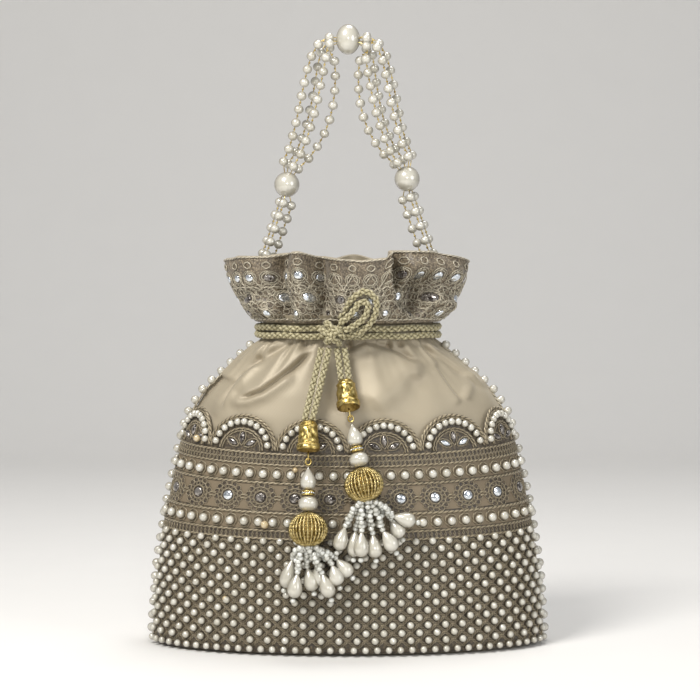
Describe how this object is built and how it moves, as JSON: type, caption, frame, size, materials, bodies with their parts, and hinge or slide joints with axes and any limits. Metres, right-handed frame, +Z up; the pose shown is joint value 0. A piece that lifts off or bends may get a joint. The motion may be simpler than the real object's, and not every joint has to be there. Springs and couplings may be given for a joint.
{
  "type": "potli bag",
  "caption": "Drawstring pouch of satin with pearl-embroidered panels, a ruffled collar, hanging bead tassels and a handle of pearl strands.",
  "frame": {"origin": "centre of the flat base, on the surface that the bag stands on", "axes": "+X to the right seen from the front, +Y from the front to the back, +Z up; the knot and tassels face -Y"},
  "size_m": [0.1944, 0.1171, 0.2962],
  "materials": {
    "satin": "champagne satin",
    "embroidery": "thread and bead embroidery on net",
    "collar_border": "embroidered border on satin",
    "pearl": "pearl coating",
    "cord_braid": "braided metallic thread",
    "gold": "polished gold colour",
    "crystal_beads": "clear and ivory beads",
    "board": "plain"
  },
  "bodies": {
    "bag": {"base_board": "board", "bow_loop_inner": "cord_braid", "bow_loop_outer": "cord_braid", "collar": "collar_border", "drawstring_knot": "cord_braid", "drawstring_lower": "cord_braid", "drawstring_upper": "cord_braid", "handle_tab_left": "satin", "handle_tab_right": "satin", "left_bell_cap": "gold", "left_leg_a": "cord_braid", "left_leg_b": "cord_braid", "panel_back": "embroidery", "panel_front": "embroidery", "right_bell_cap": "gold", "right_leg_a": "cord_braid", "right_leg_b": "cord_braid", "satin_pouch": "satin", "seam_pearls_left": "pearl", "seam_pearls_right": "pearl"},
    "handle": {"crimp_bead_left": "gold", "crimp_bead_right": "gold", "lower_strand_left_1": "pearl", "lower_strand_left_2": "pearl", "lower_strand_left_3": "pearl", "lower_strand_right_1": "pearl", "lower_strand_right_2": "pearl", "lower_strand_right_3": "pearl", "shoulder_pearl_left": "pearl", "shoulder_pearl_right": "pearl", "top_pearl": "pearl", "upper_strand_left_1": "pearl", "upper_strand_left_2": "pearl", "upper_strand_left_3": "pearl", "upper_strand_left_4": "pearl", "upper_strand_right_1": "pearl", "upper_strand_right_2": "pearl", "upper_strand_right_3": "pearl", "upper_strand_right_4": "pearl", "upper_strand_right_5": "pearl"},
    "left_link": {"left_link": "gold"},
    "left_tassel": {"left_drop_pearl": "pearl", "left_spacer": "gold", "left_round_pearl": "pearl", "left_ribbed_bead": "gold", "left_tassel": "crystal_beads"},
    "right_link": {"right_link": "gold"},
    "right_tassel": {"right_drop_pearl": "pearl", "right_spacer": "gold", "right_round_pearl": "pearl", "right_ribbed_bead": "gold", "right_tassel": "crystal_beads"}
  },
  "joints": [
    {"name": "handle_swing", "type": "hinge", "parent": "bag", "child": "handle", "pos_m": [0, 0, 0.181], "axis": [1, 0, 0], "range_deg": [-50, 50]},
    {"name": "left_link_sway", "type": "hinge", "parent": "bag", "child": "left_link", "pos_m": [-0.0183, -0.04964, 0.09588], "axis": [0, 1, 0], "range_deg": [0, 25]},
    {"name": "left_tassel_swing", "type": "hinge", "parent": "left_link", "child": "left_tassel", "pos_m": [-0.0183, -0.05087, 0.0896], "axis": [-1, 0, 0], "range_deg": [0, 90]},
    {"name": "right_link_sway", "type": "hinge", "parent": "bag", "child": "right_link", "pos_m": [0.00042, -0.04754, 0.11548], "axis": [0, -1, 0], "range_deg": [0, 25]},
    {"name": "right_tassel_swing", "type": "hinge", "parent": "right_link", "child": "right_tassel", "pos_m": [0.00166, -0.04896, 0.10937], "axis": [-1, 0, 0], "range_deg": [0, 90]}
  ]
}
